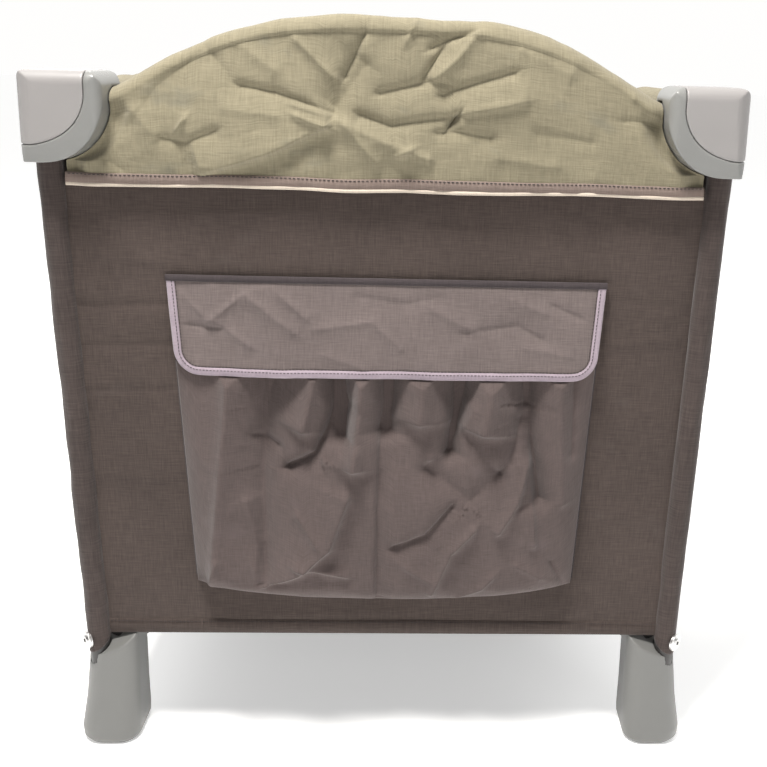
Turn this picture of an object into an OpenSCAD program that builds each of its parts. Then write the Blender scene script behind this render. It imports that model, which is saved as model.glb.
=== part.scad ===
// Folding playpen (travel cot): four plastic-footed steel legs, centre-folding top rails, a lifting
// floor hub on diagonal struts, domed end covers, fabric walls and a folding floor mattress.
// X is the width, Y the length (the domed pocket end faces -Y), Z is up, the floor is z = 0.

/* [Size] */
// Width over the corner housings
width = 700; // [680:4:760]
// Length over the corner housings
length = 1016; // [956:4:1096]
// Height of the corner housings
height = 737; // [717:1:757]
// Height of the dome's crest above the corner housings
dome_rise = 58; // [40:1:70]
// How far each leg leans inwards between its housing and its foot, along X and along Y
lean = 15; // [6:1:18]

/* [Frame] */
// Outer diameter of the leg tubes
leg_d = 22; // [20:0.5:24]
// Outer diameter of the top rails
rail_d = 19; // [18:0.5:19]
// Outer diameter of the floor struts
strut_d = 18; // [16:0.5:19]
// Wall of every steel tube
tube_wall = 1.2; // [1:0.1:2]
// Diameter of the pivot pins
pin_d = 6; // [5:0.5:7]
// Height of the floor struts and the hub's pivots
strut_z = 112; // [111:0.5:113]
// How far the centre release buttons stand below their housings
button_proud = 6; // [6:0.5:9]

/* [Fabric] */
// Thickness of the wall panels
panel_t = 3; // [2:0.5:4]
// Height of the wall panels' lower edge
panel_low = 127; // [124:1:135]
// Height of the top covers' hem
hem_z = 628; // [615:1:640]
// How far the top covers stand out from the legs' plane
cover_out = 14; // [12:1:20]
// Thickness of the mattress
mattress_t = 25; // [15:1:35]

/* [Hidden] */
$fn = 48;
FOLD_FINE = 32;
CORNERS = ["fl", "fr", "bl", "br"];
SIDES = ["left", "right"];
ENDS = ["front", "back"];
LATCHES = ["front", "back", "left", "right"];
MATS = ["a", "b", "c", "d"];
SOFT_NODES = ["floor_panel", "pocket", "pocket_flap"];
CORNER_NODES = ["leg_tube", "foot", "corner_housing", "corner_cap", "corner_fasteners",
                "end_rail", "side_rail", "strut"];

HOUSING_GREY = [0.52, 0.52, 0.52];
CAP_GREY = [0.68, 0.66, 0.66];
STEEL = [0.25, 0.24, 0.24];
PIN_STEEL = [0.75, 0.75, 0.76];
CHARCOAL = [0.24, 0.21, 0.20];
OLIVE = [0.45, 0.44, 0.34];
POCKET_BROWN = [0.31, 0.27, 0.28];
FLAP_MAUVE = [0.38, 0.34, 0.37];
MAT_GREY = [0.42, 0.42, 0.42];
RED = [0.55, 0.12, 0.12];

// corner housing, measured from its own centre. Along X the leg stands leg_shift further out
housing_h = 87;
housing_out = 35;
housing_in = 46;
housing_arm = 33;
slot_end = 21;
housing_round = 58;
cap_t = 3;
seam = 0.5;
leg_shift = 16;
housing_z = height - housing_h;
leg_x0 = width / 2 - housing_out + leg_shift;
leg_y0 = length / 2 - housing_out;

// the leg's slight inward lean
lean_span = 535;
slope = lean / lean_span;
lean_deg = atan(slope);
leg_tilt = atan(slope * sqrt(2));
leg_low = 32;
leg_top = housing_z + 50;
function leg_x(z) = leg_x0 + slope * (z - housing_z);
function leg_y(z) = leg_y0 + slope * (z - housing_z);

// fold geometry: a half rail and a strut have the same plan projection, so they turn together
pivot_inset = 34;
// the top rails run inside the legs' plane, so that they swing down behind the wall panels
rail_inset = 17;
centre_gap = 28;
rail_z = housing_z + 55;
pivot_x = leg_x0 - pivot_inset;
pivot_y = leg_y0 - pivot_inset;
rail_x_len = pivot_x - centre_gap;
rail_y_len = pivot_y - centre_gap;
strut_len = norm([rail_x_len, rail_y_len]);
strut_angle = atan2(rail_y_len, rail_x_len);

// pins and their holes
pin_r = pin_d / 2;
hole_r = pin_r + 0.03;
run_r = pin_r + 0.06;
socket_play = 0.1;
slot_w = rail_d + 3;
end_reach = 7;
fitting_r = 10;
fitting_w = 16;
fitting_len = 46;
fitting_slot = fitting_w + 2.5;
strut_pin_len = 30;
rail_pin_len = 29;
pin_centre = -16;

// foot
foot_z = 60;
foot_clip = 126.5;
foot_top = 100;
foot_slope = 0.4;
foot_front = 15;
foot_cut_deg = atan(foot_slope * sqrt(2));

// fabric fixing screw and washer at the foot of each leg
fix_z = 124;
washer_r = 9.5;
washer_t = 2.5;
screw_r = 2.5;
screw_head_r = 5;
screw_head_t = 2;
sleeve_t = 1.5;

// centre latch of a top rail
latch_half = 52;
latch_side = 14.5;
latch_low = -19;
latch_high = 17.5;
latch_block = 13;
latch_floor = -14;
button_half = 9;
button_gap = 0.3;
button_top = 0;
button_travel = 6;

// hub under the floor
hub_r = 62;
hub_low = 98;
hub_high = 128;
hub_roof = 4;
loop_len = 90;
loop_w = 24;
loop_h = 12;
loop_t = 2;

// covers and wall panels
cover_t = 2.5;
cover_gap = 1;
cover_end = housing_in + cover_gap;
dome_half_x = leg_x0 - leg_shift - cover_end;
cover_in = 36;
cover_step = 16;
hem_inset = 19;
wall_gap = 1.5;
cover_shoulder = height - 21;
side_cover_top = rail_z + 22;
crest_rise = height + dome_rise - cover_shoulder;
panel_clear = 0.6;
panel_tuck = rail_z - 15;

// pocket and flap, on the front panel
pocket_top = 446;
pocket_low = 180;
pocket_half_top = 217;
pocket_half_low = 204;
pocket_t = 2;
stand_off = panel_t / 2 + 0.3;
flap_top = 537;
flap_low = 437;
flap_half = 223;
flap_t = 2.5;
flap_corner = 25;
flap_lean = 19;

// floor and mattress
floor_z = 132;
floor_t = 2.2;
floor_half_x = 300;
floor_half_y = leg_y(floor_z) - 15;
floor_notch = 42;
mattress_z = 142;
mattress_half_x = 296;
mat_pitch = (leg_y(mattress_z) - 17.6) / 2;
mat_gap = 1.5;

function is_left(c) = c[1] == "l";
function is_front(c) = c[0] == "f";
function arc(x, y, r, a0, a1, n = 8) =
    [for (i = [0:n]) let (a = a0 + (a1 - a0) * i / n) [x + r * cos(a), y + r * sin(a)]];
function mirrored(points) =
    concat(points, [for (i = [len(points) - 1:-1:0]) [-points[i][0], points[i][1]]]);
function round_rect(x, y, r) = concat(
    arc(x - r, y - r, r, 0, 90),
    arc(-x + r, y - r, r, 90, 180),
    arc(-x + r, -y + r, r, 180, 270),
    arc(x - r, -y + r, r, 270, 360)
);
// height of the dome at a distance x from the middle, drawn in by o
function dome_z(x, o) =
    cover_shoulder - o + crest_rise * pow(1 - pow(min(abs(x) / dome_half_x, 1), 3), 1.5);

// puts the back right corner's children at corner c
module at_corner(c) {
    mirror([is_left(c) ? 1 : 0, 0, 0])
        mirror([0, is_front(c) ? 1 : 0, 0])
            children();
}

module at_end(e) {
    mirror([0, e == "front" ? 1 : 0, 0])
        children();
}

module at_side(s) {
    mirror([s == "left" ? 1 : 0, 0, 0])
        children();
}

// a frame on the leg's axis at height z, its x axis pointing out along the corner's diagonal
module on_leg(z) {
    translate([leg_x(z), leg_y(z), z])
        rotate([0, leg_tilt, 45])
            children();
}

// a frame in the end wall's leaning plane: x across, y outwards, z up from the floor
module on_end_wall() {
    translate([0, leg_y0, housing_z])
        rotate([-lean_deg, 0, 0])
            translate([0, 0, -housing_z])
                children();
}

module on_side_wall() {
    translate([leg_x0, 0, housing_z])
        rotate([0, lean_deg, 0])
            translate([0, 0, -housing_z])
                children();
}

// an outline of (across, up) points made thick along Y, or along X
module slab_xz(points, y0, y1) {
    translate([0, y1, 0])
        rotate([90, 0, 0])
            linear_extrude(y1 - y0)
                polygon(points);
}

module slab_yz(points, x0, x1) {
    translate([x0, 0, 0])
        rotate([90, 0, 90])
            linear_extrude(x1 - x0)
                polygon(points);
}

module pin_y(r, l) {
    rotate([90, 0, 0])
        cylinder(r = r, h = l, center = true);
}

module pin_x(r, l) {
    rotate([0, 90, 0])
        cylinder(r = r, h = l, center = true);
}

// ---- corner housing and cap ----

function housing_profile(o) = concat(
    [[30.5 - o, o], [32 - o, 8], [33.5 - o, 22], [34.5 - o, 50]],
    arc(22, housing_h - 13, 13 - o, 0, 90),
    arc(16 - housing_in, housing_h - 16, 16 - o, 90, 180),
    arc(housing_round - housing_in, housing_round, housing_round - o, 180, 270, 14)
);

function housing_plan(o) = concat(
    arc(housing_out - 20, housing_out - 20, 20 - o, 0, 90),
    arc(12 - housing_in, housing_out - 12, 12 - o, 90, 180),
    [[o - housing_in, -housing_arm], [-housing_arm, o - housing_in]],
    arc(housing_out - 12, 12 - housing_in, 12 - o, 270, 360)
);

function cap_region(o) = concat(
    [[60, 100], [o - 31, 100]],
    [for (a = [180:6:270]) [28 + (59 - o) * cos(a), 66 + (49 - o) * sin(a)]],
    [[60, 17 + o]]
);

module housing_envelope(o) {
    translate([-leg_shift, 0, 0]) intersection() {
        linear_extrude(housing_h + 1)
            polygon(housing_plan(o));
        slab_xz(housing_profile(o), -60, 60);
        slab_yz(housing_profile(o), -60, 60);
    }
}

module cap_block(o) {
    translate([-leg_shift, 0, 0]) intersection() {
        slab_xz(cap_region(o), -61, 61);
        slab_yz(cap_region(o), -61, 61);
    }
}

module rail_slot() {
    reach = housing_in + leg_shift + 10;
    translate([-reach, -rail_inset - slot_w / 2, -5])
        cube([reach - slot_end, slot_w, 55 + rail_d / 2 + 12]);
}

module corner_housing(c) {
    color(HOUSING_GREY)
        at_corner(c) difference() {
            translate([leg_x0, leg_y0, housing_z]) difference() {
                housing_envelope(0);
                difference() {
                    cap_block(-seam);
                    housing_envelope(cap_t + 0.3);
                }
                rail_slot();
                mirror([1, -1, 0])
                    rail_slot();
                translate([-pivot_inset, pin_centre, 55])
                    pin_y(hole_r, rail_pin_len + 0.2);
                translate([pin_centre, -pivot_inset, 55])
                    pin_x(hole_r, rail_pin_len + 0.2);
            }
            on_leg(leg_low)
                cylinder(r = leg_d / 2 + socket_play, h = leg_top - leg_low + 1);
        }
}

module corner_cap(c) {
    color(CAP_GREY)
        at_corner(c)
            translate([leg_x0, leg_y0, housing_z]) difference() {
                intersection() {
                    housing_envelope(0);
                    cap_block(0);
                }
                housing_envelope(cap_t);
            }
}

// ---- leg and foot ----

module leg_tube(c) {
    leg_len = (leg_top - leg_low) / cos(leg_tilt);
    color(STEEL)
        at_corner(c)
            on_leg(leg_low) difference() {
                cylinder(r = leg_d / 2, h = leg_len);
                translate([0, 0, -1])
                    cylinder(r = leg_d / 2 - tube_wall, h = leg_len + 2);
                translate([leg_d / 2, 0, fix_z - leg_low])
                    pin_x(screw_r + 0.1, leg_d);
            }
}

module foot_slice(z, u_in, u_out) {
    translate([0, 0, z])
        linear_extrude(0.02) {
            translate([u_out - 24, u_out - 24])
                circle(24, $fn = FOLD_FINE);
            translate([u_in + 20, u_out - 20])
                circle(20, $fn = FOLD_FINE);
            translate([u_out - 20, u_in + 20])
                circle(20, $fn = FOLD_FINE);
            translate([u_in + 8, u_in + 8])
                circle(8, $fn = FOLD_FINE);
        }
}

module foot_form() {
    // height, inner reach and outer reach from the leg's axis
    slices = [[0, -37, 21], [6, -40, 24.5], [16, -40.5, 25], [50, -40, 20], [100, -40, 15.5], [146, -41, 14]];
    for (i = [0:len(slices) - 2])
        hull() {
            foot_slice(slices[i][0], slices[i][1], slices[i][2]);
            foot_slice(slices[i + 1][0] + 0.01, slices[i + 1][1], slices[i + 1][2]);
        }
}

// the strut's pivot, with x along the strut towards the hub
module at_foot_pivot() {
    translate([pivot_x, pivot_y, strut_z])
        rotate([0, 0, 180 + strut_angle])
            children();
}

module at_hub_pivot() {
    translate([centre_gap, centre_gap, strut_z])
        rotate([0, 0, strut_angle])
            children();
}

module foot(c) {
    color(HOUSING_GREY)
        at_corner(c) difference() {
            intersection() {
                translate([leg_x(foot_z), leg_y(foot_z), 0])
                    foot_form();
                translate([leg_x0 - 100, leg_y0 - 100, 0])
                    cube([160, 160, foot_clip]);
            }
            translate([leg_x(foot_z) + foot_front, leg_y(foot_z) + foot_front, foot_top])
                rotate([0, foot_cut_deg, 45])
                    translate([-100, -100, 0])
                        cube([200, 200, 80]);
            on_leg(leg_low)
                cylinder(r = leg_d / 2 + socket_play, h = 150);
            at_foot_pivot() {
                translate([-fitting_r - 2, -fitting_slot / 2, -fitting_r - 1.5])
                    cube([80, fitting_slot, 60]);
                pin_y(hole_r, strut_pin_len + 1);
            }
        }
}

module corner_fasteners(c) {
    color(PIN_STEEL)
        at_corner(c) {
            translate([leg_x0 - pivot_inset, leg_y0 + pin_centre, rail_z])
                pin_y(pin_r, rail_pin_len);
            translate([leg_x0 + pin_centre, leg_y0 - pivot_inset, rail_z])
                pin_x(pin_r, rail_pin_len);
            at_foot_pivot()
                pin_y(pin_r, strut_pin_len);
            on_leg(leg_low)
                translate([leg_d / 2 + sleeve_t, 0, fix_z - leg_low]) {
                    rotate([0, 90, 0])
                        cylinder(r = washer_r, h = washer_t);
                    rotate([0, 90, 0])
                        cylinder(r = screw_head_r, h = washer_t + screw_head_t);
                    translate([-3, 0, 0])
                        pin_x(screw_r, 10);
                }
        }
}

// ---- rails, latches, struts and hub ----

module half_rail(l) {
    difference() {
        translate([-end_reach, 0, 0])
            rotate([0, 90, 0])
                cylinder(r = rail_d / 2, h = l + 2 * end_reach);
        translate([-end_reach - 1, 0, 0])
            rotate([0, 90, 0])
                cylinder(r = rail_d / 2 - tube_wall, h = l + 2 * end_reach + 2);
        pin_y(run_r, rail_d + 2);
        translate([l, 0, 0])
            pin_y(run_r, rail_d + 2);
    }
}

module end_rail(c) {
    color(STEEL)
        at_corner(c)
            translate([centre_gap, leg_y0 - rail_inset, rail_z])
                half_rail(rail_x_len);
}

module side_rail(c) {
    color(STEEL)
        at_corner(c)
            translate([leg_x0 - rail_inset, centre_gap, rail_z])
                rotate([0, 0, 90])
                    half_rail(rail_y_len);
}

// a frame at the middle of a top rail, its x axis along the rail
module at_latch(p) {
    if (p == "front" || p == "back")
        translate([0, (p == "front" ? -1 : 1) * (leg_y0 - rail_inset), rail_z])
            children();
    else
        translate([(p == "left" ? -1 : 1) * (leg_x0 - rail_inset), 0, rail_z])
            rotate([0, 0, 90])
                children();
}

module latch_slot() {
    translate([latch_block, -rail_d / 2 - 1, latch_floor])
        cube([latch_half, rail_d + 2, latch_high - latch_floor + 1]);
}

module latch_housing(p) {
    button_room = button_half + button_gap;
    color(HOUSING_GREY)
        at_latch(p) difference() {
            translate([0, 0, latch_low])
                linear_extrude(latch_high - latch_low)
                    polygon(round_rect(latch_half, latch_side, 8));
            latch_slot();
            mirror([1, 0, 0])
                latch_slot();
            translate([-button_room, -button_room, latch_low - 1])
                cube([2 * button_room, 2 * button_room, button_top + button_travel + 2 - latch_low]);
            for (x = [-centre_gap, centre_gap])
                translate([x, 0, 0])
                    pin_y(hole_r, 2 * latch_side + 2);
        }
}

module latch_button(p) {
    color(RED)
        at_latch(p)
            translate([0, 0, latch_low - button_proud])
                linear_extrude(button_top - latch_low + button_proud)
                    polygon(round_rect(button_half, button_half, 2.5));
}

module latch_pins(p) {
    color(PIN_STEEL)
        at_latch(p)
            for (x = [-centre_gap, centre_gap])
                translate([x, 0, 0])
                    pin_y(pin_r, 2 * latch_side);
}

module strut_fitting() {
    pin_y(fitting_r, fitting_w);
    translate([0, -fitting_w / 2, -fitting_r])
        cube([fitting_len, fitting_w, 2 * fitting_r]);
}

module strut(c) {
    color(STEEL)
        at_corner(c)
            at_foot_pivot() difference() {
                union() {
                    strut_fitting();
                    translate([strut_len, 0, 0])
                        mirror([1, 0, 0])
                            strut_fitting();
                    translate([fitting_len - 16, 0, 0])
                        rotate([0, 90, 0])
                            cylinder(r = strut_d / 2, h = strut_len - 2 * fitting_len + 32);
                }
                translate([fitting_len, 0, 0])
                    rotate([0, 90, 0])
                        cylinder(r = strut_d / 2 - tube_wall, h = strut_len - 2 * fitting_len);
                pin_y(run_r, fitting_w + 2);
                translate([strut_len, 0, 0])
                    pin_y(run_r, fitting_w + 2);
            }
}

module hub() {
    color(HOUSING_GREY)
        difference() {
            rotate_extrude()
                polygon(concat(
                    [[0, hub_low], [hub_r - 4, hub_low]],
                    [[hub_r, hub_low + 4]],
                    arc(hub_r - 8, hub_high - 8, 8, 0, 90),
                    [[0, hub_high]]
                ));
            for (c = CORNERS)
                at_corner(c)
                    at_hub_pivot() {
                        translate([-fitting_r - 2, -fitting_slot / 2, hub_low - strut_z - 1])
                            cube([90, fitting_slot, hub_high - hub_low + 1 - hub_roof]);
                        pin_y(hole_r, strut_pin_len + 1);
                    }
        }
}

module hub_pins() {
    color(PIN_STEEL)
        for (c = CORNERS)
            at_corner(c)
                at_hub_pivot()
                    pin_y(pin_r, strut_pin_len);
}

module pull_loop() {
    color(RED)
        translate([0, 0, hub_high + loop_h / 2]) difference() {
            slab_xz(round_rect(loop_len / 2, loop_h / 2, loop_h / 2 - 0.5), -loop_w / 2, loop_w / 2);
            slab_xz(
                round_rect(loop_len / 2 - loop_t, loop_h / 2 - loop_t, loop_h / 2 - loop_t - 0.5),
                -loop_w / 2 - 1,
                loop_w / 2 + 1
            );
        }
}

// ---- wall panels and covers ----

// right half of a wall's outline up to the tucked top edge, clear of the leg and the housing
function wall_half(leg_low_at, leg_hem_at, leg_at, top_at, inset) = [
    [leg_low_at - leg_d / 2 - panel_clear, panel_low],
    [leg_hem_at - leg_d / 2 - panel_clear, hem_z - 2],
    [leg_at - hem_inset - inset, hem_z - 1],
    [leg_at - hem_inset - inset - 1, hem_z + 14],
    [top_at - inset, housing_z + 24],
    [top_at - inset, panel_tuck]
];

module end_panel(e) {
    color(CHARCOAL)
        at_end(e)
            on_end_wall()
                slab_xz(
                    mirrored(wall_half(leg_x(panel_low), leg_x(hem_z), leg_x0, dome_half_x, cover_t + wall_gap)),
                    -panel_t / 2,
                    panel_t / 2
                );
}

// right half of a cover's outline: it wraps behind the housing's rounded lower corner
function cover_half(leg_at, shift, o) =
    let (
        round_at = leg_at - shift - housing_in + housing_round,
        round_r = housing_round + cover_gap,
        turn = acos((round_at - leg_at + hem_inset) / round_r)
    )
    concat(
        [[leg_at - hem_inset - o, hem_z]],
        arc(round_at, housing_z + housing_round, round_r + o, 180 + turn, 180),
        [[leg_at - shift - cover_end - o, cover_shoulder - 8]]
    );

function dome_half(o) = concat(
    cover_half(leg_x0, leg_shift, o),
    [for (i = [9:-1:0]) let (x = (dome_half_x - o) * i / 9) [x, dome_z(x, o)]]
);

// a cover's plan: its hem reaches past the rail, its inner part stops short of the next cover
function cover_plan(leg_at) = mirrored([
    [leg_at, cover_out + 1],
    [leg_at, -cover_step],
    [leg_at - cover_in - 2, -cover_step],
    [leg_at - cover_in - 2, -cover_in - 1]
]);

module end_cover(e) {
    color(OLIVE)
        at_end(e)
            translate([0, leg_y0, 0]) intersection() {
                difference() {
                    slab_xz(mirrored(dome_half(0)), -cover_in, cover_out);
                    slab_xz(
                        [for (p = mirrored(dome_half(cover_t))) [p[0], p[1] == hem_z ? hem_z - 1 : p[1]]],
                        cover_t - cover_in,
                        cover_out - cover_t
                    );
                    translate([0, -rail_inset, rail_z])
                        pin_x(rail_d / 2 + 1, width);
                }
                linear_extrude(height + dome_rise + 1)
                    polygon(cover_plan(leg_x0));
            }
}

module side_panel(s) {
    color(CHARCOAL)
        at_side(s) {
            on_side_wall()
                slab_yz(
                    mirrored([
                        [leg_y(panel_low) - leg_d / 2 - panel_clear, panel_low],
                        [leg_y(hem_z) - leg_d / 2 - panel_clear, hem_z - 2],
                        [leg_y0 - cover_end, hem_z + 2]
                    ]),
                    -panel_t / 2,
                    panel_t / 2
                );
            translate([leg_x0, 0, 0]) intersection() {
                difference() {
                    slab_yz(
                        mirrored(concat(cover_half(leg_y0, 0, 0), [[leg_y0 - cover_end, side_cover_top]])),
                        -cover_in,
                        cover_out
                    );
                    translate([cover_t - cover_in, -length / 2, hem_z + cover_t])
                        cube([cover_in + cover_out - 2 * cover_t, length, side_cover_top - hem_z - 2 * cover_t]);
                }
                linear_extrude(height)
                    polygon([for (p = cover_plan(leg_y0)) [p[1], p[0]]]);
            }
        }
}

// ---- pocket and flap on the front wall ----

// side view of the pocket's front sheet: (outwards, height)
function pocket_side(o) = [
    [0, pocket_low + 4 + o],
    [24 - o, pocket_low + 6 + o],
    [34 - o, pocket_low + 36],
    [31 - o, pocket_low + 150],
    [14 - o, pocket_top + o]
];

function pocket_front(o) = mirrored([
    [pocket_half_low - o, pocket_low],
    [pocket_half_top - o, pocket_top + o]
]);

module pocket_form(o) {
    intersection() {
        slab_yz(concat(pocket_side(o), [[0, pocket_top + o]]), -flap_half, flap_half);
        slab_xz(pocket_front(o), 0, 60);
    }
}

module pocket() {
    color(POCKET_BROWN)
        at_end("front")
            on_end_wall()
                translate([0, stand_off, 0]) difference() {
                    pocket_form(0);
                    translate([0, -0.01, 0])
                        pocket_form(pocket_t);
                }
}

module pocket_flap() {
    color(FLAP_MAUVE)
        at_end("front")
            on_end_wall()
                translate([0, stand_off + 1.2, 0]) intersection() {
                    slab_yz(
                        [
                            [0, flap_top],
                            [flap_lean, flap_low],
                            [flap_lean + flap_t, flap_low],
                            [flap_t, flap_top]
                        ],
                        -flap_half,
                        flap_half
                    );
                    slab_xz(
                        mirrored(concat(
                            arc(flap_half - 6 - flap_corner, flap_low + flap_corner, flap_corner, 270, 360),
                            [[flap_half, flap_top]]
                        )),
                        -1,
                        60
                    );
                }
}

// ---- floor and mattress ----

module floor_panel() {
    color(CHARCOAL)
        translate([0, 0, floor_z]) difference() {
            linear_extrude(floor_t)
                polygon(mirrored([
                    [floor_half_x - floor_notch, -floor_half_y],
                    [floor_half_x, floor_notch - floor_half_y],
                    [floor_half_x, floor_half_y - floor_notch],
                    [floor_half_x - floor_notch, floor_half_y]
                ]));
            translate([-loop_len / 2 - 4, -loop_w / 2 - 4, -1])
                cube([loop_len + 8, loop_w + 8, floor_t + 2]);
        }
}

module mattress(i) {
    color(MAT_GREY)
        translate([0, (i - 1.5) * mat_pitch, mattress_z])
            linear_extrude(mattress_t)
                polygon(round_rect(mattress_half_x, mat_pitch / 2 - mat_gap, 6));
}

for (c = CORNERS) {
    leg_tube(c);
    foot(c);
    corner_housing(c);
    corner_cap(c);
    corner_fasteners(c);
    end_rail(c);
    side_rail(c);
    strut(c);
}
for (p = LATCHES) {
    latch_housing(p);
    latch_button(p);
    latch_pins(p);
}
hub();
hub_pins();
pull_loop();
for (e = ENDS) {
    end_panel(e);
    end_cover(e);
}
for (s = SIDES)
    side_panel(s);
floor_panel();
pocket();
pocket_flap();
for (i = [0:3])
    mattress(i);
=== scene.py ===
"""The looks of a folding playpen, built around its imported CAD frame.

The front is the domed end with the pocket, at -Y. Walls are described in a wall's own terms: u runs
to the right as seen from outside, out is the distance from the legs' plane, and z is the height.
"""

import math

import bpy
import numpy as np
from mathutils import Matrix, Vector


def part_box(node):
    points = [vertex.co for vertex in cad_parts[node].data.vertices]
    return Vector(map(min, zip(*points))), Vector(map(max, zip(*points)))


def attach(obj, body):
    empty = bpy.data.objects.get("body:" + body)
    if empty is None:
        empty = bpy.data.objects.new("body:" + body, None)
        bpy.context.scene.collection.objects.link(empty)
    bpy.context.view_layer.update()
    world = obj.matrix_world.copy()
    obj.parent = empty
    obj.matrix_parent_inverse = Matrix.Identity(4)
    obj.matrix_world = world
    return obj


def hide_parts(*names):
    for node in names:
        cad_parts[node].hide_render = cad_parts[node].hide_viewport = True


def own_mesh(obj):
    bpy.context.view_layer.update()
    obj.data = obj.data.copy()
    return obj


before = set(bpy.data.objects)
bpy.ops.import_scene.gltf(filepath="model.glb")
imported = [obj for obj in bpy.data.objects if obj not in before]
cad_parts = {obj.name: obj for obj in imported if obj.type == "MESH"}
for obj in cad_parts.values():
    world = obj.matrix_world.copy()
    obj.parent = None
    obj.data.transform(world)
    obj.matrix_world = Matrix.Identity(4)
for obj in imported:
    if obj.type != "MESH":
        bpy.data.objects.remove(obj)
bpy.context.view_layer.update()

MM = 0.001
SIGNS = {"fl": (-1, -1), "fr": (1, -1), "bl": (-1, 1), "br": (1, 1)}
WALL_BODY = {"front": "leg_fl", "back": "leg_bl", "left": "leg_fl", "right": "leg_fr"}

# ---- places, from the frame ----

housing_low, housing_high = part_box("corner_housing_br")
end_low, end_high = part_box("end_cover_back")
side_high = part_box("side_panel_right")[1]
wall_low, wall_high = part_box("end_panel_back")
flap_low, flap_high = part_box("pocket_flap")
pocket_low, pocket_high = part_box("pocket")
floor_low, floor_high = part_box("floor_panel")

HOUSING_OUT = 35 * MM
LEG_SHIFT = 16 * MM
HOUSING_Z = housing_low.z
HOUSING_TOP = housing_high.z
LEG_X = housing_high.x - HOUSING_OUT + LEG_SHIFT
LEG_Y = housing_high.y - HOUSING_OUT
LEG_LEAN = 15 / 535
LEG_R = 11 * MM
HEM_Z = end_low.z
CREST_Z = end_high.z
SHOULDER_Z = HOUSING_TOP - 17 * MM
SIDE_TOP = side_high.z
COVER_OUT = end_high.y - LEG_Y
COVER_IN = LEG_Y - end_low.y
COVER_END = 47 * MM
HEM_INSET = 19 * MM
HOUSING_ARC = 59 * MM
ARC_OUT = 12 * MM
ARC_UP = 58 * MM
WALL_LOW = wall_low.z
WALL_TOP = wall_high.z


def leaning(at, z):
    """A leg-plane distance at the housing, brought in by the legs' lean at height z."""
    return at + LEG_LEAN * (z - HOUSING_Z)


def wall_reach(side):
    """(distance of the wall's plane from the middle, distance of its legs from its own middle)."""
    return (LEG_Y, LEG_X) if side in ("front", "back") else (LEG_X, LEG_Y)


def housing_shift(side):
    """How far the legs stand out from their housings' centres, along this wall."""
    return LEG_SHIFT if side in ("front", "back") else 0.0


def cover_reach(side):
    """Half width of a cover between its housings."""
    return wall_reach(side)[1] - housing_shift(side) - COVER_END


def on_wall(side, u, out, z, upright=False):
    """Points of a wall given by u, out and z. An upright one ignores the legs' lean."""
    plane = wall_reach(side)[0]
    away = out + (plane if upright else leaning(plane, z))
    turned = {"front": (u, -away), "back": (-u, away), "left": (-away, -u), "right": (away, u)}
    x, y = turned[side]
    return np.stack([x + 0 * z, y + 0 * z, z + 0 * u], axis=-1)


def leg_point(corner, z):
    sx, sy = SIGNS[corner]
    return np.array([sx * leaning(LEG_X, z), sy * leaning(LEG_Y, z), z])


# ---- camera, light and floor ----

CAMERA_AT = (0.0417, -1.4685, 0.7539)
CAMERA_YAW = math.radians(-2.436)
CAMERA_PITCH = math.radians(13.025)
CAMERA_ROLL = math.radians(1.653)
CAMERA_LENS = 46.94
CAMERA_SHIFT = (-0.1134, -0.1168)


def make_camera():
    data = bpy.data.cameras.new("camera")
    data.sensor_width = 36
    data.lens = CAMERA_LENS
    data.shift_x, data.shift_y = CAMERA_SHIFT
    camera = bpy.data.objects.new("camera", data)
    bpy.context.scene.collection.objects.link(camera)
    level = math.cos(CAMERA_PITCH)
    forward = Vector((-math.sin(CAMERA_YAW) * level, math.cos(CAMERA_YAW) * level, -math.sin(CAMERA_PITCH)))
    flat_right = Vector((math.cos(CAMERA_YAW), math.sin(CAMERA_YAW), 0))
    flat_up = flat_right.cross(forward)
    right = flat_right * math.cos(CAMERA_ROLL) + flat_up * math.sin(CAMERA_ROLL)
    up = right.cross(forward)
    turn = Matrix((right, up, -forward)).transposed()
    camera.matrix_world = Matrix.Translation(CAMERA_AT) @ turn.to_4x4()
    bpy.context.scene.camera = camera


# the room is brighter behind the playpen than in front of it, so that its folds show
WORLD_FRONT = 0.12
WORLD_BACK = 1.0
# the floor glows a little, so that it meets the room without a horizon
FLOOR_GLOW = 0.4


def make_light(name, place, target, size, watts, colour=(1, 1, 1)):
    data = bpy.data.lights.new(name, "AREA")
    data.shape = "SQUARE"
    data.size = size
    data.energy = watts
    data.color = colour
    lamp = bpy.data.objects.new(name, data)
    bpy.context.scene.collection.objects.link(lamp)
    lamp.location = place
    lamp.rotation_mode = "QUATERNION"
    lamp.rotation_quaternion = (Vector(target) - Vector(place)).to_track_quat("-Z", "Y")


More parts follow.
